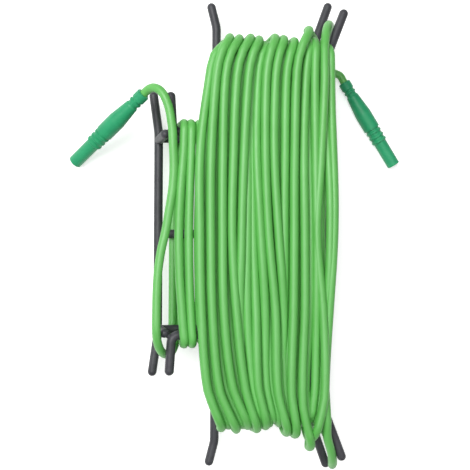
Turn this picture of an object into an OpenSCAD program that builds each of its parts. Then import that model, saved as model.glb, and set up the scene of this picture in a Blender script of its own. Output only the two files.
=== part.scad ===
// Wire reel: a dipped steel wire frame with a long test lead wound on it.
// The reel lies on its side. +X runs from the narrow grip to the drum's end,
// +Y runs along the turns towards the head, and +Z points up. Millimetres.

/* [Frame] */
// Diameter of the dipped rods
rod_d = 4.8; // [4.2:0.1:5.4]
// Height from the lower rods to the upper rods, between their axes
plane_gap = 27.7; // [25:0.1:32]
// Distance from the grip's end rod to the drum's end rods
frame_len = 86; // [82:0.5:100]
// Distance from the grip's end rod to the middle rod
grip_len = 31.7; // [30:0.1:38]
// Distance from the grip's end rod to the upper prongs beside it
upper_prong_step = 3.8; // [3.4:0.1:4.4]
// Centreline radius of the square bends
bend_r = 4; // [3.2:0.1:5]
// Centreline radius of the slight bends at the foot of the prongs
prong_bend_r = 14; // [10:1:20]

/* [Grip] */
// Width of the grip, between the axes of its bars
grip_w = 104; // [98:1:112]
// How far the grip's end rod runs past its bars before it bends
grip_reach = 3; // [2:0.5:6]
// Length of the grip's lower prongs
grip_prong = 20; // [14:0.5:26]
// Outward tilt of the grip's lower prongs
grip_tilt = 8.2; // [4:0.2:14]
// Length of the grip's upper prongs
upper_prong = 18.2; // [12:0.5:24]
// Outward tilt of the grip's upper prongs
upper_tilt = 3.5; // [0:0.5:8]

/* [Drum] */
// Width of the drum, between the axes of its bars
drum_w = 188; // [180:1:200]
// How far the middle rod runs past the drum's bars before it bends
middle_reach = 20; // [16:0.5:24]
// Length of the middle prongs
middle_prong = 11.5; // [8:0.5:16]
// Tilt of the middle prongs towards the grip
middle_tilt = 14.6; // [8:0.2:20]
// How far the lower end rod runs past the drum's bars before it bends
lower_end_reach = 8; // [6:0.5:12]
// Length of the lower end prongs
lower_end_prong = 29.6; // [24:0.2:34]
// Outward tilt of the lower end prongs
lower_end_tilt = 20; // [14:0.5:24]
// Length of the upper end prongs, which bend at the drum's bars
upper_end_prong = 26.4; // [20:0.2:30]
// Outward tilt of the upper end prongs
upper_end_tilt = 21.5; // [14:0.5:24]

/* [Posts] */
// How far the grip's posts stand inside its bars
grip_post_in = 1.2; // [0:0.1:2]
// How far the middle posts stand inside the drum's bars
middle_post_in = 9; // [7:0.5:14]
// How far the end posts stand inside the drum's bars
end_post_in = 6; // [5:0.5:12]

/* [Lead] */
// Outside diameter of the lead
cable_d = 4.5; // [4:0.1:4.8]
// Diameter of the lead's copper strands
core_d = 1.8; // [1.2:0.1:2]
// Turns in the drum's outer layer
drum_turns_count = 10; // [7:1:10]
// Turns on the grip
grip_turns_count = 3; // [2:1:3]
// Spacing of the turns on the grip
grip_pitch = 4.5; // [4.4:0.1:4.8]
// How far the first upper strand of the drum slumps towards the grip
slump_grip = 18; // [8:1:18]
// How far the last upper strand of the drum slumps past the end rods
slump_end = 6; // [0:1:8]
// How far the upper strands of the grip slump outwards
slump_outer = 2.5; // [0:0.5:3]

/* [Plug] */
// Whole length of a plug
plug_len = 56.5; // [54:0.5:60]
// Diameter of the plug's grip
grip_d = 9.5; // [9:0.1:11]
// Length of the straight part of the plug's grip
grip_straight = 10; // [8:0.5:12]
// Outside diameter of the shroud
shroud_d = 7.4; // [7.2:0.1:8]
// Wall of the shroud
shroud_wall = 0.75; // [0.6:0.05:0.8]
// Length of shroud that shows
shroud_len = 16; // [14:0.5:18]
// Diameter of the contact over its spring
contact_d = 4; // [3.9:0.05:4.1]
// Running clearance of the contact spring on its pin
contact_play = 0.05; // [0.03:0.01:0.1]
// How far the pin's tip stays inside the shroud
tip_recess = 0.8; // [0.5:0.1:2]
// Slots in the contact spring
contact_slots = 8; // [6:1:10]
// Slope of the left plug, whose tip touches the ground
left_slope = 33; // [20:1:40]

/* [Hidden] */
$fn = 64;

rod_r = rod_d / 2;
cable_r = cable_d / 2;

// The frame's X places: its outline is centred on the origin
grip_outset = grip_prong * sin(grip_tilt) + rod_r;
end_outset = max(lower_end_prong * sin(lower_end_tilt), upper_end_prong * sin(upper_end_tilt)) + rod_r;
grip_x = grip_outset - (grip_outset + frame_len + end_outset) / 2;
upper_prong_x = grip_x + upper_prong_step;
middle_x = grip_x + grip_len;
end_x = grip_x + frame_len;
grip_y = grip_w / 2;
drum_y = drum_w / 2;
weld_r = 1.4;
bend_swell = 0.02;
bend_bite = 0.2;

// The windings: the lowest turns are cut flat by a tenth of the lead
flat_cut = cable_d / 10;
grip_loop_r = rod_r + cable_r;
drum_loop_r = rod_r + cable_d + cable_r;
low_z = drum_loop_r + cable_r - flat_cut;
high_z = low_z + plane_gap;
wrap_bite = 0.1;
side_gap = 0.3;
drum_first_x = middle_x + rod_r + side_gap + cable_r;
drum_last_x = end_x - rod_r - side_gap - cable_r;
drum_pitch = (drum_last_x - drum_first_x) / drum_turns_count;
grip_first_x = upper_prong_x + rod_r + side_gap + cable_r;
grip_last_x = grip_first_x + grip_turns_count * grip_pitch;

// Rings in one loop: five at each corner and four along the upper strand
loop_rings = 24;
corner_rings = 5;
first_drum_ring = corner_rings;
tube_sides = 6;
cord_sides = 10;
lift_y = drum_y * 0.8;
drum_end_y = 81.5;

// The plug's places along its axis, from the lead's end
relief_len = 9.5;
relief_r = 3.5;
relief_neck_r = 2.9;
relief_cap = 5;
relief_groove = 0.8;
relief_ring = 1.6;
rib_count = 3;
rib_groove_depth = 0.55;
plug_bevel = 0.5;
shroud_from = plug_len - shroud_len;
rib_zone = 9;
straight_to = shroud_from - rib_zone;
straight_from = straight_to - grip_straight;
grip_r = grip_d / 2;
rib_r = grip_r - 0.25;
shroud_r = shroud_d / 2;
shroud_bore_r = shroud_r - shroud_wall;
socket_len = 7.5;
socket_step = 0.4;
web_len = 3;
fit_gap = 0.05;
stem_r = contact_d / 2;
flange_r = 3;
flange_len = 3;
barrel_len = 6;
flange_from = shroud_from - socket_len - flange_len - 9;
barrel_from = flange_from - barrel_len;
barrel_bore = 5;
neck_wall = 0.5;
neck_r = stem_r - neck_wall;
neck_from = shroud_from - 2;
cap_len = 1.8;
collar_len = 1.5;
cap_from = plug_len - tip_recess - cap_len;
neck_to = cap_from - collar_len;
collar_r = stem_r - 0.1;
spigot_r = 0.7;
spigot_len = 2.5;
contact_slack = 0.3;
contact_rim = 2.5;
contact_lip = 0.25;
slot_w = 0.5;
insulation_to = barrel_from - 2;

// Where the plugs lie: the lead's end of each plug, and its heading
left_plug_xy = [-57.3, 71.8];
left_heading = -135.5;
left_plug_at = [
    left_plug_xy[0],
    left_plug_xy[1],
    shroud_r * cos(left_slope) + plug_len * sin(left_slope)
];
right_heading = -56.7;
right_plug_at = [61.8, 88.6, grip_r];
left_way = [
    cos(left_slope) * cos(left_heading),
    cos(left_slope) * sin(left_heading),
    -sin(left_slope)
];
right_way = [cos(right_heading), sin(right_heading), 0];

// Left lead, from the plug over the upper prong and along the grip, down behind the
// other upper prong and into the first turn
left_route = [
    left_plug_at,
    left_plug_at - 2.5 * left_way,
    [-54.2, 74.2, 37.2], [-52.2, 74.1, 39.4], [-50, 72.7, 41.4], [-48.2, 70.2, 42.8],
    [-46.7, 66.8, 43.5], [-45.3, 62.4, 43.7], [-44.4, 57.4, 43.7], [-43.7, 52.4, 43.6],
    [-43.3, 44, 43.4], [-42.8, 34, 43.1], [-43.4, 23, 42.8], [-45, 12, 42.5],
    [-46.8, 1, 42.3], [-49, -9, 42.2], [-50.4, -19, 42.2], [-51, -30, 42.3],
    [-51.2, -40, 42.6], [-51.2, -48, 42.4], [-50.7, -53, 41], [-49.6, -57, 38.6],
    [-47.9, -60.2, 35.6], [-45.6, -62.4, 32.2], [-43, -63, 28.6], [-40.6, -61.9, 24.8],
    [-38.8, -59.8, 21], [-37.9, -57.8, 17.4],
    [grip_first_x, -grip_y - grip_loop_r, low_z + cable_d],
    [grip_first_x, -grip_y - grip_loop_r, low_z]
];

// Right lead, from the last turn round to its plug, along the ground
right_route = [
    [drum_last_x, drum_end_y, cable_r],
    [drum_last_x, drum_end_y + cable_d, cable_r],
    [36.4, 90, 2.3], [39.3, 93.2, 2.3], [43.2, 95.3, 2.4], [47.7, 96.1, 2.7],
    [52.2, 95.6, 3.3], [56.2, 93.8, 4.1],
    right_plug_at - cable_d * right_way,
    right_plug_at
];

// ---- Rods -------------------------------------------------------------------

function unit(v) = v / norm(v);
function heading(v) = atan2(v[1], v[0]);

// Turn at point i of a path, in degrees, positive to the left
function turn(path, i) =
    let (before = path[i] - path[i - 1], after = path[i + 1] - path[i])
    atan2(before[0] * after[1] - before[1] * after[0], before * after);

// Length that a bend of radius r takes from the straights beside it
function bend_cut(path, i, r) = i == 0 || i == len(path) - 1 ? 0 : r * tan(abs(turn(path, i)) / 2);

// The straights run a little way into the bends
function straight_cut(path, i, r) = max(0, bend_cut(path, i, r) - bend_bite);

// A straight rod between flat points, with rounded ends where they are asked for
module straight_rod(from, to, round_start = false, round_end = false) {
    span = to - from;
    translate([from[0], from[1], 0])
        rotate([0, 90, heading(span)]) {
            cylinder(h = norm(span), r = rod_r);
            if (round_start) sphere(r = rod_r);
            if (round_end) translate([0, 0, norm(span)]) sphere(r = rod_r);
        }
}

// A rod along a flat path, bent at each inner point with that point's radius
module bent_rod(path, radii, round_start = true, round_end = true) {
    last = len(path) - 1;
    for (i = [0 : last - 1]) {
        way = unit(path[i + 1] - path[i]);
        straight_rod(
            path[i] + way * straight_cut(path, i, radii[i]),
            path[i + 1] - way * straight_cut(path, i + 1, radii[i + 1]),
            round_start && i == 0,
            round_end && i == last - 1);
    }
    for (i = [1 : last - 1]) {
        bend = turn(path, i);
        side = bend > 0 ? 1 : -1;
        before = heading(path[i] - path[i - 1]);
        start = path[i] - unit(path[i] - path[i - 1]) * bend_cut(path, i, radii[i]);
        centre = start + radii[i] * [cos(before + 90 * side), sin(before + 90 * side)];
        translate([centre[0], centre[1], 0])
            rotate(before - 90 * side + (side < 0 ? bend : 0))
                rotate_extrude(angle = abs(bend))
                    translate([radii[i], 0])
                        circle(r = rod_r + bend_swell);
    }
}

// A rod along Y at x, with a prong at each end that tilts towards +X
module pronged_rod(x, bend_y, prong, tilt) {
    tip = [x + prong * sin(tilt), bend_y + prong * cos(tilt)];
    bent_rod(
        [[tip[0], -tip[1]], [x, -bend_y], [x, bend_y], tip],
        [0, prong_bend_r, prong_bend_r, 0]);
}

module rod_colour() {
    color([0.25, 0.26, 0.29]) children();
}

module grip_end_rod() {
    rod_colour() translate([0, 0, low_z])
        pronged_rod(grip_x, grip_y + grip_reach, grip_prong, -grip_tilt);
}

module middle_rod() {
    rod_colour() translate([0, 0, low_z])
        pronged_rod(middle_x, drum_y + middle_reach, middle_prong, -middle_tilt);
}

module lower_end_rod() {
    rod_colour() translate([0, 0, low_z])
        pronged_rod(end_x, drum_y + lower_end_reach, lower_end_prong, lower_end_tilt);
}

module upper_end_rod() {
    rod_colour() translate([0, 0, high_z])
        pronged_rod(end_x, drum_y, upper_end_prong, upper_end_tilt);
}

// One rod from its prong along the grip, out to the drum's width and along the drum
module upper_rail_head() {
    tip = [upper_prong_x - upper_prong * sin(upper_tilt), grip_y + upper_prong * cos(upper_tilt)];
    rod_colour() difference() {
        translate([0, 0, high_z])
            bent_rod(
                [tip, [upper_prong_x, grip_y], [middle_x, grip_y], [middle_x, drum_y], [end_x, drum_y]],
                [0, bend_r, bend_r, bend_r, 0], true, false);
        upper_end_rod();
    }
}

module upper_rail_foot() {
    mirror([0, 1, 0]) upper_rail_head();
}

// A length of rod along Y that a bar or a post is cut to
module rod_across(x, y, z) {
    translate([x, y + rod_d, z]) rotate([90, 0, 0]) cylinder(h = 2 * rod_d, r = rod_r);
}

// A straight bar along X, cut to the rods that it is welded to
module lower_bar(from_x, to_x, y) {
    rod_colour() difference() {
        translate([0, 0, low_z]) straight_rod([from_x, y], [to_x, y]);
        rod_across(from_x, y, low_z);
        rod_across(to_x, y, low_z);
    }
}

module lower_grip_bar_head() { lower_bar(grip_x, middle_x, grip_y); }
module lower_grip_bar_foot() { lower_bar(grip_x, middle_x, -grip_y); }
module lower_drum_bar_head() { lower_bar(middle_x, end_x, drum_y); }
module lower_drum_bar_foot() { lower_bar(middle_x, end_x, -drum_y); }
module grip_spine_bar() { lower_bar(grip_x, middle_x, 0); }
module drum_spine_bar() { lower_bar(middle_x, end_x, 0); }

// A post from the lower rods to the upper rods, cut to the rods that it is welded to
module post(x, y) {
    rod_colour() difference() {
        translate([x, y, low_z]) cylinder(h = plane_gap, r = rod_r);
        rod_across(x, y, low_z);
        rod_across(x, y, high_z);
    }
}

// The grip's posts end in a rounded top beside the upper rails, welded to their bends
module grip_post_head() {
    post_y = grip_y - grip_post_in;
    rail_turn = 90 - upper_tilt;
    bend_at = [upper_prong_x + bend_r * tan(rail_turn / 2), grip_y + bend_r];
    to_bend = bend_at - [grip_x, post_y];
    rod_colour() difference() {
        union() {
            translate([grip_x, post_y, low_z]) cylinder(h = plane_gap, r = rod_r);
            translate([grip_x, post_y, high_z]) {
                sphere(r = rod_r);
                rotate([0, 90, heading(to_bend)]) cylinder(h = norm(to_bend) - bend_r, r = weld_r);
            }
        }
        rod_across(grip_x, post_y, low_z);
        translate([0, 0, low_z]) straight_rod([grip_x, grip_y], [middle_x, grip_y]);
        translate([bend_at[0], bend_at[1], high_z])
            rotate(270 - rail_turn)
                rotate_extrude(angle = rail_turn)
                    translate([bend_r, 0])
                        circle(r = rod_r + bend_swell);
    }
}

module grip_post_foot() {
    mirror([0, 1, 0]) grip_post_head();
}

module middle_post_head() { post(middle_x, drum_y - middle_post_in); }
module middle_post_foot() { post(middle_x, -drum_y + middle_post_in); }
module end_post_head() { post(end_x, drum_y - end_post_in); }
module end_post_foot() { post(end_x, -drum_y + end_post_in); }

// ---- Windings ---------------------------------------------------------------

// The angle of ring k about the corner that it belongs to
function corner_angle(k) = 90 * (k % corner_rings) / (corner_rings - 1);

// Place in the loop's own plane of ring k, and the way out from the loop there.
// A loop starts at the foot, runs along the bottom to the head and back along the top.
function loop_place(k, half_w, r) =
    k < corner_rings ? corner_place(180 + corner_angle(k), -half_w, low_z, r)
    : k < 2 * corner_rings ? corner_place(270 + corner_angle(k), half_w, low_z, r)
    : k < 3 * corner_rings ? corner_place(corner_angle(k), half_w, high_z, r)
    : k < loop_rings - corner_rings ? [half_w * (1 - 0.4 * (k - 3 * corner_rings + 1)), high_z + r, 0, 1]
    : corner_place(90 + corner_angle(k - 3 * corner_rings - 4), -half_w, high_z, r);

function corner_place(a, y, z, r) = [y + r * cos(a), z + r * sin(a), cos(a), sin(a)];

// How much of the sideways slump a strand takes at a place of the loop
function slump_share(place, half_w, r) =
    place[1] <= high_z ? 0 : max(0, cos(90 * place[0] / (half_w + r)));

// The corners of the tube round a centre, with its points up and down and its flats at the sides
function tube_ring(centre, out) =
    [for (j = [0 : tube_sides - 1])
        centre + cable_r * (cos(360 * j / tube_sides) * out + sin(360 * j / tube_sides) * [1, 0, 0])];

// Ring k of a winding that starts at ring first_k, at first_x, and gains pitch in each loop
function winding_ring(k, first_k, first_x, pitch, half_w, r, slump_first, slump_last, turns) =
    let (
        place = loop_place(k % loop_rings, half_w, r),
        gone = (k - first_k) / loop_rings,
        slump = slump_first + (slump_last - slump_first) * gone / turns,
        x = first_x + pitch * gone + slump * slump_share(place, half_w, r))
    tube_ring([x, place[0], place[1]], [0, place[2], place[3]]);

function grip_ring(k) = winding_ring(
    k, 0, grip_first_x, grip_pitch, grip_y, grip_loop_r, -slump_outer, -slump_outer, grip_turns_count);

function drum_ring(k) = winding_ring(
    k, first_drum_ring, drum_first_x, drum_pitch, drum_y, drum_loop_r,
    -slump_grip, slump_end, drum_turns_count);

grip_last_ring = grip_turns_count * loop_rings;
drum_last_ring = drum_turns_count * loop_rings + corner_rings - 1;

grip_rings = [for (k = [0 : grip_last_ring]) grip_ring(k)];

// Below the grip the lead crosses to the drum, under the middle rod
cross_x = middle_x - rod_r;
cross_y = 8;
cross_z = low_z - drum_loop_r;
down = [0, 0, -1];
drum_rings = concat(
    [for (k = [0 : corner_rings - 1]) grip_ring(grip_last_ring + k)],
    [tube_ring([cross_x, cross_y, cross_z], down)],
    [for (k = [first_drum_ring : drum_last_ring]) drum_ring(k)],
    [
        tube_ring([drum_last_x, lift_y, cross_z], down),
        tube_ring([drum_last_x, drum_end_y - 1, cable_r], down),
        tube_ring([drum_last_x, drum_end_y, cable_r], down)
    ]);

// Least distance between the corners of rings that lie one loop apart
function least_gap(rings) =
    min([for (i = [0 : len(rings) - loop_rings - 1])
        for (p = rings[i])
            for (q = rings[i + loop_rings])
                norm(p - q)]);

echo("least gap of the grip's turns", least_gap(grip_rings));
echo("least gap of the drum's turns", least_gap([for (i = [corner_rings + 1 : len(drum_rings) - 4]) drum_rings[i]]));

// One unbroken tube through rings of corners
module tube(rings) {
    sides = len(rings[0]);
    last = len(rings) - 1;
    points = [for (ring = rings) for (p = ring) p];
    walls = [for (i = [0 : last - 1])
        for (j = [0 : sides - 1])
            let (a = i * sides + j, b = i * sides + (j + 1) % sides)
            each [[a, b, a + sides], [b, b + sides, a + sides]]];
    start = [for (j = [1 : sides - 2]) [0, j + 1, j]];
    end = last * sides;
    finish = [for (j = [1 : sides - 2]) [end, end + j, end + j + 1]];
    polyhedron(points, concat(walls, start, finish), convexity = 10);
}

module cable_colour() {
    color([0.42, 0.76, 0.38]) children();
}

// The outline of a loop round the bars, r outside their axes
module loop_outline(half_w, r) {
    translate([-half_w - r, low_z]) square([2 * (half_w + r), plane_gap]);
    translate([-half_w, low_z - r]) square([2 * half_w, plane_gap + 2 * r]);
    for (y = [-half_w, half_w])
        for (z = [low_z, high_z])
            translate([y, z]) circle(r = r);
}

// The inner layers, wound tight against the bars
module drum_inner_turns() {
    from_x = middle_x + rod_r + side_gap;
    cable_colour() translate([from_x, 0, 0])
        rotate([90, 0, 90])
            linear_extrude(end_x - rod_r - side_gap - from_x)
                difference() {
                    loop_outline(drum_y, rod_r + cable_d);
                    loop_outline(drum_y, rod_r - wrap_bite);
                }
}

// The outer layer, cut flat where the reel lies on it
module drum_turns() {
    ground = 2 * (drum_y + drum_loop_r + cable_d);
    cable_colour() difference() {
        tube(drum_rings);
        translate([-ground / 2, -ground / 2, -cable_d]) cube([ground, ground, cable_d]);
    }
}

module grip_turns() {
    cable_colour() tube(grip_rings);
}

// ---- Free leads -------------------------------------------------------------

function way_at(route, i) =
    i == 0 ? unit(route[1] - route[0])
    : i == len(route) - 1 ? unit(route[i] - route[i - 1])
    : unit(unit(route[i + 1] - route[i]) + unit(route[i] - route[i - 1]));

function square_to(v, way) = unit(v - (v * way) * way);

// The side directions at every point, carried along the route without twist
function sides_along(route, first) =
    [for (i = 0, side = square_to(first, way_at(route, 0));
          i < len(route);
          i = i + 1, side = i < len(route) ? square_to(side, way_at(route, i)) : side)
        side];

function cord_rings(route, first) =
    let (side = sides_along(route, first))
    [for (i = [0 : len(route) - 1])
        let (across = cross(way_at(route, i), side[i]))
        [for (j = [0 : cord_sides - 1])
            route[i] + cable_r * (cos(360 * j / cord_sides) * side[i] + sin(360 * j / cord_sides) * across)]];

module left_lead() {
    cable_colour() tube(cord_rings(left_route, [0, 0, 1]));
}

module right_lead() {
    cable_colour() tube(cord_rings(right_route, [0, 0, 1]));
}

// ---- Plugs ------------------------------------------------------------------
// A plug stands on the lead's end at the origin and points along +Z.

module plug_colour() {
    color([0.13, 0.55, 0.36]) children();
}

module metal_colour() {
    color([0.8, 0.78, 0.7]) children();
}

module revolve(outline) {
    rotate_extrude() polygon(outline);
}

// A band round the plug with bevelled edges
module band(from, to, r) {
    revolve([
        [0, from], [r - plug_bevel, from], [r, from + plug_bevel],
        [r, to - plug_bevel], [r - plug_bevel, to], [0, to]
    ]);
}

// The grip with its bend relief, hollow for the lead, the pin and the shroud
module plug_body() {
    rib_pitch = rib_zone / rib_count;
    plug_colour() difference() {
        union() {
            cylinder(h = relief_len, r = relief_neck_r);
            band(0, relief_cap, relief_r);
            band(relief_cap + relief_groove, relief_cap + relief_groove + relief_ring, relief_r);
            revolve([
                [0, relief_len - relief_groove], [relief_r - plug_bevel, relief_len - relief_groove],
                [relief_r, relief_len], [grip_r, straight_from], [grip_r, straight_to],
                [rib_r - rib_groove_depth, straight_to], [rib_r - rib_groove_depth, shroud_from],
                [0, shroud_from]
            ]);
            for (i = [0 : rib_count - 1]) {
                rib_to = shroud_from - i * rib_pitch;
                band(rib_to - rib_pitch * 0.6, rib_to, rib_r);
            }
        }
        translate([0, 0, -1]) cylinder(h = insulation_to + 1, r = cable_r + fit_gap);
        cylinder(h = flange_from, r = stem_r + fit_gap);
        translate([0, 0, flange_from - fit_gap])
            cylinder(h = flange_len + 2 * fit_gap, r = flange_r + fit_gap);
        translate([0, 0, flange_from]) cylinder(h = plug_len, r = stem_r + fit_gap);
        translate([0, 0, shroud_from - socket_len])
            cylinder(h = socket_len + 1, r = shroud_r - socket_step + fit_gap);
    }
}

// The shroud and the web that seats it in the grip
module plug_shroud() {
    seat_r = shroud_r - socket_step;
    seat_from = shroud_from - socket_len;
    lip = shroud_wall / 3;
    plug_colour() revolve([
        [stem_r + fit_gap, seat_from], [seat_r, seat_from], [seat_r, shroud_from],
        [shroud_r, shroud_from], [shroud_r, plug_len - lip], [shroud_r - lip, plug_len],
        [shroud_bore_r, plug_len], [shroud_bore_r, seat_from + web_len],
        [stem_r + fit_gap, seat_from + web_len]
    ]);
}

// The pin: solder barrel, flange, stem, the neck that carries the spring, and its collar
module plug_pin() {
    metal_colour() difference() {
        revolve([
            [0, barrel_from], [stem_r, barrel_from], [stem_r, flange_from],
            [flange_r, flange_from], [flange_r, flange_from + flange_len],
            [stem_r, flange_from + flange_len], [stem_r, neck_from], [neck_r, neck_from],
            [neck_r, neck_to], [collar_r, neck_to], [collar_r, cap_from], [0, cap_from]
        ]);
        translate([0, 0, barrel_from - 1]) cylinder(h = barrel_bore + 1, r = core_d / 2 + fit_gap);
        translate([0, 0, cap_from - spigot_len]) cylinder(h = spigot_len + 1, r = spigot_r);
    }
}

// The slotted spring that turns on the pin's neck
module plug_contact() {
    from = neck_from + contact_slack;
    to = neck_to - contact_slack;
    middle = (from + to) / 2;
    bore = neck_r + contact_play;
    lip_r = bore + contact_lip;
    slot_len = to - from - 2 * contact_rim;
    metal_colour() difference() {
        revolve([
            [bore, from], [lip_r, from], [lip_r, from + contact_rim / 2], [stem_r, middle - slot_len / 4],
            [stem_r, middle + slot_len / 4], [lip_r, to - contact_rim / 2], [lip_r, to], [bore, to]
        ]);
        for (i = [0 : contact_slots - 1])
            rotate(360 * i / contact_slots)
                translate([0, -slot_w / 2, from + contact_rim])
                    cube([contact_d, slot_w, slot_len]);
    }
}

// The insulating tip that keeps fingers off the pin
module plug_tip() {
    plug_colour() {
        translate([0, 0, cap_from - spigot_len]) cylinder(h = spigot_len, r = spigot_r);
        band(cap_from, cap_from + cap_len, collar_r);
    }
}

// The lead's stripped end: insulation in the grip and bare strands in the solder barrel
module lead_end() {
    cable_colour() {
        cylinder(h = insulation_to, r = cable_r);
        translate([0, 0, insulation_to])
            cylinder(h = barrel_from + barrel_bore - insulation_to, r = core_d / 2);
    }
}

module on_left_lead() {
    translate(left_plug_at) rotate([0, 90 + left_slope, left_heading]) children();
}

module on_right_lead() {
    translate(right_plug_at) rotate([0, 90, right_heading]) children();
}

module left_plug_body() { on_left_lead() plug_body(); }
module left_plug_shroud() { on_left_lead() plug_shroud(); }
module left_plug_pin() { on_left_lead() plug_pin(); }
module left_plug_contact() { on_left_lead() plug_contact(); }
module left_plug_tip() { on_left_lead() plug_tip(); }
module left_lead_end() { on_left_lead() lead_end(); }
module right_plug_body() { on_right_lead() plug_body(); }
module right_plug_shroud() { on_right_lead() plug_shroud(); }
module right_plug_pin() { on_right_lead() plug_pin(); }
module right_plug_contact() { on_right_lead() plug_contact(); }
module right_plug_tip() { on_right_lead() plug_tip(); }
module right_lead_end() { on_right_lead() lead_end(); }

grip_end_rod();
middle_rod();
lower_end_rod();
upper_end_rod();
upper_rail_head();
upper_rail_foot();
lower_grip_bar_head();
lower_grip_bar_foot();
lower_drum_bar_head();
lower_drum_bar_foot();
grip_spine_bar();
drum_spine_bar();
grip_post_head();
grip_post_foot();
middle_post_head();
middle_post_foot();
end_post_head();
end_post_foot();
drum_inner_turns();
drum_turns();
grip_turns();
left_lead();
right_lead();
left_plug_body();
left_plug_shroud();
left_plug_pin();
left_plug_contact();
left_plug_tip();
left_lead_end();
right_plug_body();
right_plug_shroud();
right_plug_pin();
right_plug_contact();
right_plug_tip();
right_lead_end();
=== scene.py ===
"""Wire reel with a green test lead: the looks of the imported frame."""

import math
import bpy
import bmesh
from mathutils import Matrix, Vector


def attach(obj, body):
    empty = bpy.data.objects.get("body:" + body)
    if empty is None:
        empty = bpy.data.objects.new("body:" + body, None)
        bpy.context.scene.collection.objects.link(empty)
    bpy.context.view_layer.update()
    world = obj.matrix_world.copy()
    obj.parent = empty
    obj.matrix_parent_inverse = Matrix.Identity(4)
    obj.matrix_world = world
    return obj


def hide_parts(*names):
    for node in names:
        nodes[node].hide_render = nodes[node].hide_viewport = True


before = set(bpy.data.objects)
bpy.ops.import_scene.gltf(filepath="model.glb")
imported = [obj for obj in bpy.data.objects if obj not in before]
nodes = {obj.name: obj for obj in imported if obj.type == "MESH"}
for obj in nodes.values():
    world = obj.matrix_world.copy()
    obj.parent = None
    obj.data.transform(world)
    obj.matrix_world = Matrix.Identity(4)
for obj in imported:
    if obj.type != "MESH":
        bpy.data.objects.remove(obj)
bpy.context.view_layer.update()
MM = 0.001

# ---- Camera -----------------------------------------------------------------

EYE = Vector((-0.10045, -0.00208, 0.4497))
AIM = Vector((-0.00385, -0.00038, 0.01095))
ROLL = 0.0055
FOCAL_PX = 809.0
FRAME_PX = 470
SENSOR = 36


def make_camera():
    """From above and a little from the grip's side."""
    forward = (AIM - EYE).normalized()
    right = forward.cross(Vector((0, 1, 0))).normalized()
    up = right.cross(forward)
    right_rolled = right * math.cos(ROLL) + up * math.sin(ROLL)
    up_rolled = up * math.cos(ROLL) - right * math.sin(ROLL)
    turn = Matrix((right_rolled, up_rolled, -forward)).transposed()
    data = bpy.data.cameras.new("camera")
    data.sensor_width = SENSOR
    data.lens = FOCAL_PX * SENSOR / FRAME_PX
    data.clip_start = 0.01
    data.clip_end = 20
    camera = bpy.data.objects.new("camera", data)
    camera.matrix_world = Matrix.Translation(EYE) @ turn.to_4x4()
    bpy.context.scene.collection.objects.link(camera)
    bpy.context.scene.camera = camera


make_camera()

# ---- Sizes, in millimetres, and smooth lines --------------------------------

# Radii of the rods and of the lead, which is pressed a little fuller on the drum
ROD_R = 2.4
CABLE_R = 2.25
WOUND_R = 2.33

# The rods' axes: the depth between the two planes, their heights, and half the widths of
# grip and drum
DEPTH = 27.7
LOW_Z = 10.95
HIGH_Z = LOW_Z + DEPTH
GRIP_Y = 52
DRUM_Y = 94

# Radius of the inner and of the outer turns round a bar, to the lead's axis
INNER_R = ROD_R + CABLE_R
OUTER_R = ROD_R + 3 * CABLE_R

# Steps in each span of a smooth route, and the nearest that two points of a tube come
SPAN_STEPS = 5
LEAST_STEP = 0.3 * MM


def vec(x, y, z):
    """A place in metres from millimetres."""
    return Vector((x, y, z)) * MM


def smooth_step(t):
    """From 0 to 1 as t goes from 0 to 1, flat at both ends."""
    t = min(1, max(0, t))
    return t * t * (3 - 2 * t)


def span_weights(s):
    """Weights, at the share s of a span, of its start, start slope, end and end slope."""
    return (
        2 * s ** 3 - 3 * s ** 2 + 1,
        s ** 3 - 2 * s ** 2 + s,
        3 * s ** 2 - 2 * s ** 3,
        s ** 3 - s ** 2,
    )


def spline_value(stations, t):
    """A smooth line through the stations (position, value), positions falling or rising."""
    if stations[0][0] > stations[-1][0]:
        stations = stations[::-1]
    n = len(stations)
    i = 0
    while i < n - 2 and t > stations[i + 1][0]:
        i += 1
    (x0, y0), (x1, y1) = stations[i], stations[i + 1]
    before = stations[i - 1] if i else (2 * x0 - x1, 2 * y0 - y1)
    after = stations[i + 2] if i + 2 < n else (2 * x1 - x0, 2 * y1 - y0)
    slope0 = (y1 - before[1]) / (x1 - before[0])
    slope1 = (after[1] - y0) / (after[0] - x0)
    span = x1 - x0
    a, b, c, d = span_weights(min(1, max(0, (t - x0) / span)))
    return a * y0 + b * span * slope0 + c * y1 + d * span * slope1


def root_gap(p, q):
    """The root of their distance, which keeps a curve from looping between close points."""
    return max((q - p).length, 1e-9) ** 0.5


def smooth_route(points):
    """Points on one smooth curve through the route's points."""
    out = []
    n = len(points)
    for i in range(n - 1):
        p1, p2 = points[i], points[i + 1]
        p0 = points[i - 1] if i else p1 * 2 - p2
        p3 = points[i + 2] if i + 2 < n else p2 * 2 - p1
        d01, d12, d23 = root_gap(p0, p1), root_gap(p1, p2), root_gap(p2, p3)
        m1 = (p1 - p0) / d01 - (p2 - p0) / (d01 + d12) + (p2 - p1) / d12
        m2 = (p2 - p1) / d12 - (p3 - p1) / (d12 + d23) + (p3 - p2) / d23
        m1 *= d12
        m2 *= d12
        for k in range(SPAN_STEPS):
            a, b, c, d = span_weights(k / SPAN_STEPS)
            out.append(p1 * a + m1 * b + p2 * c + m2 * d)
    out.append(points[-1].copy())
    return out


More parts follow.
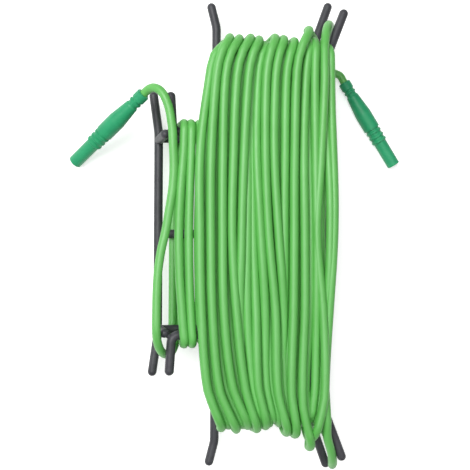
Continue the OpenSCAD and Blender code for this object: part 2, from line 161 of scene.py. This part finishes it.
def tube(name, points, radius, material, resolution=5):
    """A round tube along one open line, on the reel."""
    data = bpy.data.curves.new(name, "CURVE")
    data.dimensions = "3D"
    data.bevel_depth = radius
    data.bevel_resolution = resolution
    data.use_fill_caps = True
    line = data.splines.new("POLY")
    line.points.add(len(points) - 1)
    for place, p in zip(line.points, points):
        place.co = (p.x, p.y, p.z, 1)
    data.materials.append(material)
    piece = bpy.data.objects.new(name, data)
    bpy.context.scene.collection.objects.link(piece)
    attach(piece, "reel")
    return piece


# ---- Materials --------------------------------------------------------------

# Where a ramp leaves its dark colour, and where it comes to its light one
RAMP_START = 0.3
RAMP_END = 0.7

# The places of a mix node's sockets for colours
MIX_SHARE, MIX_A, MIX_B, MIX_RESULT = 0, 6, 7, 2

GREEN = (0.106, 0.47, 0.078)
LIGHT_GREEN = (0.132, 0.52, 0.104)
RUBBED_GREEN = (0.18, 0.54, 0.14)
# The inner layer's lead is the same green darkened to this share, as painted shade under the
# outer turns
INNER_PAINTED_SHADE = 0.9


class Maker:
    """Short ways to add and join shader nodes in one material."""

    def __init__(self, name):
        self.material = bpy.data.materials.new(name)
        self.material.use_nodes = True
        self.tree = self.material.node_tree
        self.shader = self.tree.nodes["Principled BSDF"]
        self.place = self.add("ShaderNodeTexCoord").outputs["Object"]

    def add(self, kind, **settings):
        node = self.tree.nodes.new(kind)
        for key, value in settings.items():
            setattr(node, key, value)
        return node

    def join(self, source, target):
        self.tree.links.new(source, target)

    def put(self, value, socket):
        """Join a socket, or set it to a colour or a number."""
        if isinstance(value, bpy.types.NodeSocket):
            self.join(value, socket)
        elif isinstance(value, tuple):
            socket.default_value = (*value, 1)
        else:
            socket.default_value = value

    def noise(self, scale, detail, rough=0.5):
        """Cloudy patches, finer with more scale."""
        node = self.add("ShaderNodeTexNoise")
        node.inputs["Scale"].default_value = scale
        node.inputs["Detail"].default_value = detail
        node.inputs["Roughness"].default_value = rough
        self.join(self.place, node.inputs["Vector"])
        return node.outputs["Fac"]

    def ramp(self, value, dark, light):
        """The dark colour in the hollows of a noise, the light one on its tops."""
        node = self.add("ShaderNodeValToRGB")
        first, last = node.color_ramp.elements
        first.position, last.position = RAMP_START, RAMP_END
        first.color, last.color = (*dark, 1), (*light, 1)
        self.join(value, node.inputs["Fac"])
        return node.outputs["Color"]

    def rescale(self, value, low, high, from_low=0.0, from_high=1.0):
        """The value moved from one range into another, and kept inside it."""
        node = self.add("ShaderNodeMapRange")
        node.inputs["From Min"].default_value = from_low
        node.inputs["From Max"].default_value = from_high
        node.inputs["To Min"].default_value = low
        node.inputs["To Max"].default_value = high
        self.join(value, node.inputs["Value"])
        return node.outputs["Result"]

    def mix(self, share, a, b):
        """From colour a to colour b."""
        node = self.add("ShaderNodeMix", data_type="RGBA")
        for value, place in ((share, MIX_SHARE), (a, MIX_A), (b, MIX_B)):
            self.put(value, node.inputs[place])
        return node.outputs[MIX_RESULT]

    def bump(self, heights):
        """Bumps from (height, strength, depth), one upon the other."""
        normal = None
        for height, strength, depth in heights:
            node = self.add("ShaderNodeBump")
            node.inputs["Strength"].default_value = strength
            node.inputs["Distance"].default_value = depth
            self.join(height, node.inputs["Height"])
            if normal:
                self.join(normal, node.inputs["Normal"])
            normal = node.outputs["Normal"]
        self.join(normal, self.shader.inputs["Normal"])

    def edges(self, start, end):
        """0 on plain faces, rising to 1 on sharp outer edges, by how pointed the place is."""
        node = self.add("ShaderNodeNewGeometry")
        return self.rescale(node.outputs["Pointiness"], 0.0, 1.0, start, end)

    def set(self, name, value):
        self.put(value, self.shader.inputs[name])


def dipped_steel():
    """Thick dark grey plastic dip on wire, with soft dimples and handling marks."""
    m = Maker("dipped_steel")
    broad = m.noise(scale=90, detail=3)
    fine = m.noise(scale=1400, detail=4, rough=0.6)
    dust = m.noise(scale=420, detail=5, rough=0.7)
    base = m.ramp(broad, (0.037, 0.037, 0.045), (0.063, 0.063, 0.073))
    marks = m.rescale(dust, 0.0, 0.35, from_low=0.56, from_high=0.75)
    m.set("Base Color", m.mix(marks, base, (0.11, 0.11, 0.125)))
    m.set("Roughness", m.rescale(fine, 0.38, 0.62))
    m.set("Specular IOR Level", 0.5)
    m.bump([(broad, 0.25, 0.0006), (fine, 0.25, 0.0001)])
    return m.material


# A colour darkened by the factor; below 1 it is painted shade
def shaded(colour, painted_shade):
    return tuple(part * painted_shade for part in colour)


def lead_cover(name, painted_shade=1.0):
    """Soft green insulation: satin, slightly uneven along its length, rubbed paler in places; a
    factor below 1 darkens all its greens as painted shade.
    """
    m = Maker(name)
    broad = m.noise(scale=35, detail=3)
    cloud = m.noise(scale=260, detail=4, rough=0.6)
    fine = m.noise(scale=2600, detail=3, rough=0.6)
    base = m.ramp(broad, shaded(GREEN, painted_shade), shaded(LIGHT_GREEN, painted_shade))
    rubbed = m.rescale(cloud, 0.0, 0.22, from_low=0.5, from_high=0.8)
    m.set("Base Color", m.mix(rubbed, base, shaded(RUBBED_GREEN, painted_shade)))
    m.set("Roughness", m.rescale(cloud, 0.44, 0.58))
    m.set("Specular IOR Level", 1.0)
    m.bump([(cloud, 0.12, 0.0003), (fine, 0.12, 0.00005)])
    return m.material


def moulded_plug():
    """Moulded teal plastic with a fine satin texture and slightly worn edges."""
    m = Maker("moulded_plug")
    cloud = m.noise(scale=180, detail=4)
    fine = m.noise(scale=3600, detail=3, rough=0.7)
    base = m.ramp(cloud, (0.019, 0.32, 0.137), (0.028, 0.375, 0.16))
    worn = m.edges(start=0.52, end=0.6)
    m.set("Base Color", m.mix(m.rescale(worn, 0.0, 0.3), base, (0.06, 0.44, 0.22)))
    m.set("Roughness", m.rescale(fine, 0.36, 0.52))
    m.set("Specular IOR Level", 0.45)
    m.bump([(fine, 0.18, 0.00008)])
    return m.material


def plated_contact():
    """Nickel plate on brass with fine turning lines and a warm rub on the edges."""
    m = Maker("plated_contact")
    lines = m.noise(scale=3000, detail=2)
    cloud = m.noise(scale=300, detail=4)
    worn = m.edges(start=0.52, end=0.62)
    base = m.ramp(cloud, (0.58, 0.56, 0.50), (0.72, 0.70, 0.64))
    m.set("Base Color", m.mix(m.rescale(worn, 0.0, 0.6), base, (0.75, 0.56, 0.28)))
    m.set("Metallic", 1.0)
    m.set("Roughness", m.rescale(lines, 0.22, 0.4))
    m.bump([(lines, 0.15, 0.00003)])
    return m.material


rod_finish = dipped_steel()
lead_finish = lead_cover("lead_cover")
# The same lead finish, darker: painted shade for the layer under the outer turns
inner_painted_shade_finish = lead_cover("inner_lead_cover_painted_shade", INNER_PAINTED_SHADE)
plug_finish = moulded_plug()
contact_finish = plated_contact()


def finish_of(name):
    """The finish of a solid, by its name."""
    if "plug_pin" in name or "plug_contact" in name:
        return contact_finish
    if "plug" in name:
        return plug_finish
    if "lead" in name or "turns" in name:
        return lead_finish
    return rod_finish


for name, node in nodes.items():
    node.data.materials.clear()
    node.data.materials.append(finish_of(name))

# ---- Free leads -------------------------------------------------------------

# The plugs: the left one stands on its mouth's rim and leans on the rods, the right one lies.
# Each has the place of its rear end and the way that it points.
PLUG_LEN = 56.5
PLUG_R = 4.75
SHROUD_R = 3.7
LEFT_SLOPE = math.radians(33)
LEFT_HEADING = math.radians(-135.5)
LEFT_REAR = vec(-57.3, 71.8, SHROUD_R * math.cos(LEFT_SLOPE) + PLUG_LEN * math.sin(LEFT_SLOPE))
LEFT_WAY = Vector((
    math.cos(LEFT_SLOPE) * math.cos(LEFT_HEADING),
    math.cos(LEFT_SLOPE) * math.sin(LEFT_HEADING),
    -math.sin(LEFT_SLOPE),
))
RIGHT_HEADING = math.radians(-56.7)
RIGHT_REAR = vec(61.8, 88.6, PLUG_R)
RIGHT_WAY = Vector((math.cos(RIGHT_HEADING), math.sin(RIGHT_HEADING), 0))

# How far the lead comes straight out of each plug, in metres
LEFT_STRAIGHT = 0.0025
RIGHT_STRAIGHT = 0.0045

# Where the lead goes down into the first turn, where it leaves the grip's turns, and where it
# leaves the drum's turns
FIRST_X = -37.89
GRIP_LAST = -24.39
LAST_X = 34.41
LAST_Y = 81.5

# From the left plug over a prong, along the grip's side, down behind the other prong and
# into the first turn
LEFT_ROUTE = [LEFT_REAR, LEFT_REAR - LEFT_WAY * LEFT_STRAIGHT] + [
    vec(*p) for p in (
        (-54.2, 74.2, 37.2), (-52.2, 74.1, 39.4), (-50, 72.7, 41.4), (-48.2, 70.2, 42.8),
        (-46.7, 66.8, 43.5), (-45.3, 62.4, 43.7), (-44.4, 57.4, 43.7), (-43.7, 52.4, 43.6),
        (-43.3, 44, 43.4), (-42.8, 34, 43.1), (-43.4, 23, 42.8), (-45, 12, 42.5),
        (-46.8, 1, 42.3), (-49, -9, 42.2), (-50.4, -19, 42.2), (-51, -30, 42.3),
        (-51.2, -40, 42.6), (-51.2, -48, 42.4), (-50.7, -53, 41), (-49.6, -57, 38.6),
        (-47.9, -60.2, 35.6), (-45.6, -62.4, 32.2), (-43, -63, 28.6), (-40.6, -61.9, 24.8),
        (-38.8, -59.8, 21), (-37.9, -57.8, 17.4),
        (FIRST_X, -GRIP_Y - INNER_R, LOW_Z + 2 * CABLE_R), (FIRST_X, -GRIP_Y - INNER_R, LOW_Z),
    )
]

# From the drum's last turn round to the right plug
RIGHT_ROUTE = [
    vec(*p) for p in (
        (LAST_X, LAST_Y, CABLE_R), (LAST_X, 86, CABLE_R), (36.4, 90, 2.3), (39.3, 93.2, 2.3),
        (43.2, 95.3, 2.4), (47.7, 96.1, 2.7), (52.2, 95.6, 3.3), (56.2, 93.8, 4.1),
    )
] + [RIGHT_REAR - RIGHT_WAY * RIGHT_STRAIGHT, RIGHT_REAR]


def make_free_lead(name, route, node):
    """A limp lead along its route, from its start in the turns to its plug."""
    line = smooth_route(route)
    piece = tube(name, line, CABLE_R * MM, lead_finish)
    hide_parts(node)


make_free_lead("left_free_lead", LEFT_ROUTE[::-1], "left_lead")
make_free_lead("right_free_lead", RIGHT_ROUTE, "right_lead")

# ---- Turns ------------------------------------------------------------------


class Strand:
    """A strand over the drum's upper side: its X over the head, then at 80, 40, 0, -40 and
    -80 along Y, and over the foot; how high it lies at the head, in the middle and at the
    foot, against its layer; how far it stands out at the head and at the foot; and how much
    further along X it lies halfway down the head's and the foot's side."""

    def __init__(self, x, rise=(0, 0, 0), out=(0, 0), side=(0, 0)):
        self.x = x
        self.rise = rise
        self.out = out
        self.side = side

    def end(self, side):
        """Its X, rise, out and side at the head (side 1) or at the foot (side -1)."""
        at = 0 if side > 0 else -1
        return self.x[at], self.rise[at], self.out[at], self.side[at]


# Y of a strand's seven X on the drum, which the grip's strands draw in to their width, and
# the rise of an end that slips below its neighbours
STATIONS = (104, 80, 40, 0, -40, -80, -104)
MIDDLE = STATIONS.index(0)
UNDER = -4.5

# In the order in which they are wound
DRUM_STRANDS = [
    Strand((-17, -25.5, -30, -30, -29, -26, -17), (-2.5, -0.5, 0), (-3, -3)),
    Strand((-13.5, -22.2, -24.5, -24.5, -23.5, -19.8, -9), (0, 0, 0), (-1.3, -1.8)),
    Strand((-8.5, -17.5, -18.5, -18.5, -17.5, -13, -3), (0, 0.2, 0), (-1.5, -3.5)),
    Strand((-2.5, -11.5, -13, -13.5, -11, -6.3, 1.8), (0, 0, 0), (-0.8, -1.6)),
    Strand((2, -5.5, -7.5, -8.5, -8.5, -3.5, 5), (0, 0, UNDER), (-1.5, -3.5)),
    Strand((-0.5, -3.5, -4.5, -5, -5, -2, 4), (UNDER, -1.5, -2), (-4, -4)),
    Strand((3.5, -1.5, -2.5, -2, -0.5, 0.5, 6.5), (UNDER, -2, 0), (-4, -3)),
    Strand((6, 0.5, -0.5, 1.5, 4.3, 5.5, 10.5), (-3, 0, -3), (-1.5, -3)),
    Strand((10.6, 4, 3.8, 5.7, 9.5, 11, 18), (0, 0.2, 0), (0, 1)),
    Strand((15.2, 8.9, 8.5, 11, 14.3, 15.8, 20), (0, 0.2, UNDER), (-0.5, 0)),
    Strand((21, 14.8, 14.5, 14.5, 15, 16, 17), (-0.5, -1.5, UNDER), (-0.8, 0)),
    Strand((29, 19.8, 19.2, 19.4, 19.2, 18.3, 22.5), (1.5, 0, 0.2), (3.6, 2), (8, 0)),
    Strand((31.2, 30.3, 31, 31.8, 32.2, 32.2, 29.8), (-0.5, -1, -3.2), (0, -2)),
    Strand((31, 28, 28.5, 29.3, 29, 27, 30), (UNDER, -3, -3.8)),
    Strand((37, 36.2, 38.5, 39, 38, 36.5, 36.5), (UNDER, 0, UNDER)),
    Strand((29.5, 25.5, 24.5, 25, 25.3, 24.3, 30.7), (-1, 0.2, 0.2), (-1, 9), (0, 4)),
    Strand((35.3, 35.4, 33.8, 32, 35.3, 36.2, 30.7), (0.2, -0.6, 0.8), (0, 4)),
    Strand((39.5, 40.2, 41, 41, 39, 37.3, 38.3), (-3.5, 0.2, -1.8)),
]
GRIP_STRANDS = [
    Strand((-37.2, -37.8, -39.4, -40.2, -39.6, -38, -36.6)),
    Strand((-33.6, -34.0, -34.6, -35.0, -34.6, -33.6, -32.4)),
    Strand((-29.2, -29.4, -29.8, -30.2, -29.8, -29, -26)),
]

# The slack loops between the end prongs, in steps from the place where the lower end rod
# meets the bar: the first goes from below the drum up to a strand, the second back down
END_X = 39.36
HEAD_LOOP = [
    (-5.9, 6, -8.7), (-1.4, 10, -7.2), (4.1, 13.5, -5.8), (8.9, 16.5, -2.5), (9.9, 20.5, 4.5),
    (6.5, 20.8, 15), (2.3, 18.9, 24.3), (-1.3, 13.2, 31.3), (-3.7, 3.6, 35.6),
]
FOOT_LOOP = [
    (-1, -4, 35.2), (-0.2, -12, 33), (3.2, -21, 29.5), (6.2, -28, 24), (8.6, -32.3, 16),
    (11.6, -32.5, 7), (13.4, -27, -0.5), (11, -18, -6), (4.1, -8, -8.2), (-1.9, 4, -8.65),
]

# Where the slack loops take over from the strands' straight runs
LOOP_Y = 82

# The runs below the drum: X of the first one, and how far out of their radius the lower
# and the upper ones lie
DRUM_FIRST = -10.0
LOWEST_RISE = -0.5
LOWER_RISE = -3.8

# How much of its last step along X a strand has made where it comes to a bar
HEAD_LEAN = 0.3
FOOT_LEAN = 0.5

# Where a strand begins to stand out and to rise on its way to an end, the length over
# which it rises, and how late it stands out on its way up the side
OUT_FROM_Y = 50
RISE_FROM_Y = 10
RISE_OVER = 65
OUT_GAIN = 2.2

# The inner layer has a strand in every gap that is wide enough, and is drawn more plainly
LEAST_GAP = 2.6
INNER_RISE = (0.6, 0.1, 0.6)
INNER_RESOLUTION = 3

CREST_STEPS = 8
RUN_STEPS = 30
SIDE_STEPS = 10


class Layer:
    """A layer of turns: half the distance between its bars, and its radius round them."""

    def __init__(self, half_w, radius):
        self.half_w = half_w
        self.radius = radius

    def lower_corner(self, x, rise, side):
        """A quarter turn under the head's bar (side 1) or the foot's (side -1), going up."""
        radius = self.radius + rise
        points = []
        for i in range(CREST_STEPS + 1):
            a = math.radians(90 * i / CREST_STEPS)
            y = side * (self.half_w + radius * math.sin(a))
            points.append((x, y, LOW_Z - radius * math.cos(a)))
        return points

    def up_the_side(self, low_x, low_rise, strand, side):
        """From the lower corner to the start of the upper one."""
        high_x, high_rise, out, further = strand.end(side)
        middle_x = max(high_x, (low_x + high_x) / 2) + further
        stations = [(0, low_x), (0.5, middle_x), (1, high_x)]
        points = []
        for i in range(1, SIDE_STEPS):
            share = i / SIDE_STEPS
            radius = self.radius + low_rise + (high_rise - low_rise) * smooth_step(share)
            radius += out * smooth_step(1 - OUT_GAIN * (1 - share))
            x = spline_value(stations, share)
            points.append((x, side * (self.half_w + radius), LOW_Z + (HIGH_Z - LOW_Z) * share))
        return points

    def from_below(self, low_x, low_rise, strand):
        """From a run below, round the head's lower corner and up to the strand."""
        points = self.lower_corner(low_x, low_rise, 1)
        return points + self.up_the_side(low_x, low_rise, strand, 1)

    def to_below(self, low_x, low_rise, strand):
        """From the strand down the foot's side and round its lower corner to a run below."""
        points = self.lower_corner(low_x, low_rise, -1)
        points += self.up_the_side(low_x, low_rise, strand, -1)
        return points[::-1]

    def above(self, strand, with_head=True, with_foot=True):
        """Over the head, along the upper side and over the foot."""
        x = strand.x
        stations = list(zip(STATIONS, x))
        stations.insert(1, (DRUM_Y, x[1] + (x[0] - x[1]) * HEAD_LEAN))
        stations.insert(-1, (-DRUM_Y, x[-2] + (x[-1] - x[-2]) * FOOT_LEAN))
        reach = STATIONS[0] / (self.half_w + self.radius)
        crest = [math.radians(90 * i / CREST_STEPS) for i in range(CREST_STEPS)]
        top = math.radians(90)
        # Angle round the bar, side, distance from the middle, and share of the stand-out
        places = []
        if with_head:
            places += [(angle, 1, self.half_w, 1) for angle in crest]
        for i in range(RUN_STEPS + 1):
            y = self.half_w * (1 - 2 * i / RUN_STEPS)
            if (with_head or y < LOOP_Y) and (with_foot or y > -LOOP_Y):
                far = smooth_step((abs(y) - OUT_FROM_Y) / (self.half_w - OUT_FROM_Y))
                places.append((top, 1 if y > 0 else -1, abs(y), far))
        if with_foot:
            places += [(angle, -1, self.half_w, 1) for angle in crest[::-1]]
        middle_rise = strand.rise[1]
        points = []
        for angle, side, level, far in places:
            _, end_rise, out, _ = strand.end(side)
            y = side * (level + self.radius * math.cos(angle))
            x = spline_value(stations, y * reach)
            share = smooth_step((abs(y) - RISE_FROM_Y) / RISE_OVER)
            rise = middle_rise + (end_rise - middle_rise) * share
            y += side * (rise * math.cos(angle) + far * out)
            points.append((x, y, HIGH_Z + (self.radius + rise) * math.sin(angle)))
        return points


def in_metres(points):
    """The points without near doubles, in metres."""
    out = []
    for p in points:
        place = vec(*p)
        if not out or (place - out[-1]).length > LEAST_STEP:
            out.append(place)
    return out


def smooth_detour(points):
    """A listed stretch of the route, on one smooth curve, in millimetres."""
    return [tuple(p / MM) for p in smooth_route([vec(*p) for p in points])]


def slack_loop(offsets, side):
    """A slack loop's points at the head (side 1) or at the foot (side -1)."""
    return [(END_X + x, side * DRUM_Y + y, LOW_Z + z) for x, y, z in offsets]


def make_drum_turns():
    """From the grip's last turn along the reel, round the drum and out to the right lead."""
    drum = Layer(DRUM_Y, OUTER_R)
    grip = Layer(GRIP_Y, INNER_R)
    count = len(DRUM_STRANDS)
    under = [
        (DRUM_FIRST + (LAST_X - DRUM_FIRST) * i / count, LOWER_RISE if i % 2 else LOWEST_RISE)
        for i in range(count + 1)
    ]
    lowest = LOW_Z - OUTER_R - LOWEST_RISE
    points = grip.lower_corner(GRIP_LAST, 0, -1)[::-1]
    points += smooth_detour([
        (GRIP_LAST, -GRIP_Y, LOW_Z - INNER_R), (-21.5, -22, LOW_Z - 6),
        (-17.3, 8, lowest + 0.3), (-12.5, 45, lowest),
        (DRUM_FIRST, 80, lowest), (DRUM_FIRST, DRUM_Y, lowest),
    ])
    for i, strand in enumerate(DRUM_STRANDS):
        # The last but one comes up in the head's slack loop, the last goes down in the foot's
        loose_head = i == count - 2
        loose_foot = i == count - 1
        if loose_head:
            x, rise = under[i]
            points.append((x, DRUM_Y, LOW_Z - OUTER_R - rise))
            points += smooth_detour(slack_loop(HEAD_LOOP, 1))
        else:
            points += drum.from_below(*under[i], strand)
        points += drum.above(strand, not loose_head, not loose_foot)
        if not loose_foot:
            points += drum.to_below(*under[i + 1], strand)
    points += smooth_detour(slack_loop(FOOT_LOOP, -1) + [
        (LAST_X, -75, lowest), (LAST_X, 0, lowest), (LAST_X, 75, lowest),
        (LAST_X, 80, CABLE_R), (LAST_X, LAST_Y, CABLE_R),
    ])
    piece = tube("drum_turns_lead", in_metres(points), WOUND_R * MM, lead_finish)
    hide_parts("drum_turns")


def make_inner_turns():
    """The layer below: its strands lie under the gaps of the outer ones, in the darker finish
    that paints their shade.
    """
    outer = sorted(DRUM_STRANDS, key=lambda strand: strand.x[MIDDLE])
    pairs = [
        (a, b) for a, b in zip(outer, outer[1:])
        if b.x[MIDDLE] - a.x[MIDDLE] > LEAST_GAP
    ]
    layer = Layer(DRUM_Y, INNER_R)
    points = []
    for i, (a, b) in enumerate(pairs):
        low_x = DRUM_FIRST + (LAST_X - DRUM_FIRST) * (i + 0.5) / len(pairs)
        xs = [(p + q) / 2 for p, q in zip(a.x, b.x)]
        strand = Strand(xs, INNER_RISE)
        points += layer.from_below(low_x, 0, strand) + layer.above(strand)
        points += layer.to_below(low_x, 0, strand)
    line = in_metres(points)
    piece = tube("inner_turns_lead", line, CABLE_R * MM, inner_painted_shade_finish, INNER_RESOLUTION)
    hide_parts("drum_inner_turns")


def make_grip_turns():
    """From the left lead round the grip, to the run that leads to the drum."""
    grip = Layer(GRIP_Y, INNER_R)
    count = len(GRIP_STRANDS)
    under = [FIRST_X + (GRIP_LAST - FIRST_X) * i / count for i in range(count + 1)]
    points = grip.lower_corner(FIRST_X, 0, -1)[::-1]
    for i, strand in enumerate(GRIP_STRANDS):
        points += grip.from_below(under[i], 0, strand) + grip.above(strand)
        if i + 1 < count:
            points += grip.to_below(under[i + 1], 0, strand)
        else:
            points += grip.up_the_side(under[-1], 0, strand, -1)[::-1]
    points.append((GRIP_LAST, -GRIP_Y - INNER_R, LOW_Z))
    piece = tube("grip_turns_lead", in_metres(points), CABLE_R * MM, lead_finish)
    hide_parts("grip_turns")


make_drum_turns()
make_inner_turns()
make_grip_turns()

# ---- Floor and light --------------------------------------------------------

# In metres, as are the lamps' places and sizes
FLOOR_REACH = 3
FLOOR_GLOW = 0.6
WORLD_GLOW = 0.12
LAMP_AIM = Vector((0, 0, 0.02))


def make_floor():
    """White paper that also glows a little to the camera and in reflections."""
    mesh = bpy.data.meshes.new("floor")
    shape = bmesh.new()
    bmesh.ops.create_grid(shape, x_segments=2, y_segments=2, size=FLOOR_REACH)
    shape.to_mesh(mesh)
    shape.free()
    m = Maker("floor")
    cloud = m.noise(scale=3, detail=2)
    m.set("Base Color", m.ramp(cloud, (0.9, 0.9, 0.9), (0.92, 0.92, 0.92)))
    m.set("Roughness", 0.9)
    path = m.add("ShaderNodeLightPath")
    seen = m.add("ShaderNodeMath", operation="MAXIMUM")
    m.join(path.outputs["Is Camera Ray"], seen.inputs[0])
    m.join(path.outputs["Is Glossy Ray"], seen.inputs[1])
    through = m.add("ShaderNodeMath", operation="MAXIMUM")
    m.join(seen.outputs["Value"], through.inputs[0])
    m.join(path.outputs["Is Transmission Ray"], through.inputs[1])
    m.set("Emission Color", (1, 1, 1))
    m.set("Emission Strength", m.rescale(through.outputs["Value"], 0.0, FLOOR_GLOW))
    mesh.materials.append(m.material)
    floor = bpy.data.objects.new("floor", mesh)
    bpy.context.scene.collection.objects.link(floor)


def add_lamp(name, place, size, power):
    """A square soft lamp that looks at the reel."""
    data = bpy.data.lights.new(name, "AREA")
    data.shape = "SQUARE"
    data.size = size
    data.energy = power
    lamp = bpy.data.objects.new(name, data)
    lamp.location = place
    lamp.rotation_mode = "QUATERNION"
    lamp.rotation_quaternion = (LAMP_AIM - Vector(place)).to_track_quat("-Z", "Y")
    bpy.context.scene.collection.objects.link(lamp)


def make_world():
    """A soft light from all round, which the camera sees as white."""
    world = bpy.data.worlds.new("studio")
    world.use_nodes = True
    tree = world.node_tree
    sky = tree.nodes["Background"]
    sky.inputs["Color"].default_value = (1, 1, 1, 1)
    path = tree.nodes.new("ShaderNodeLightPath")
    level = tree.nodes.new("ShaderNodeMapRange")
    level.inputs["To Min"].default_value = WORLD_GLOW
    level.inputs["To Max"].default_value = 1
    tree.links.new(path.outputs["Is Camera Ray"], level.inputs["Value"])
    tree.links.new(level.outputs["Result"], sky.inputs["Strength"])
    bpy.context.scene.world = world


make_floor()
make_world()
add_lamp("key", (-0.6, 0.3, 1.1), size=0.8, power=17)
add_lamp("fill", (0.5, -0.3, 1.2), size=0.9, power=3)
bpy.context.scene.view_settings.view_transform = "Standard"
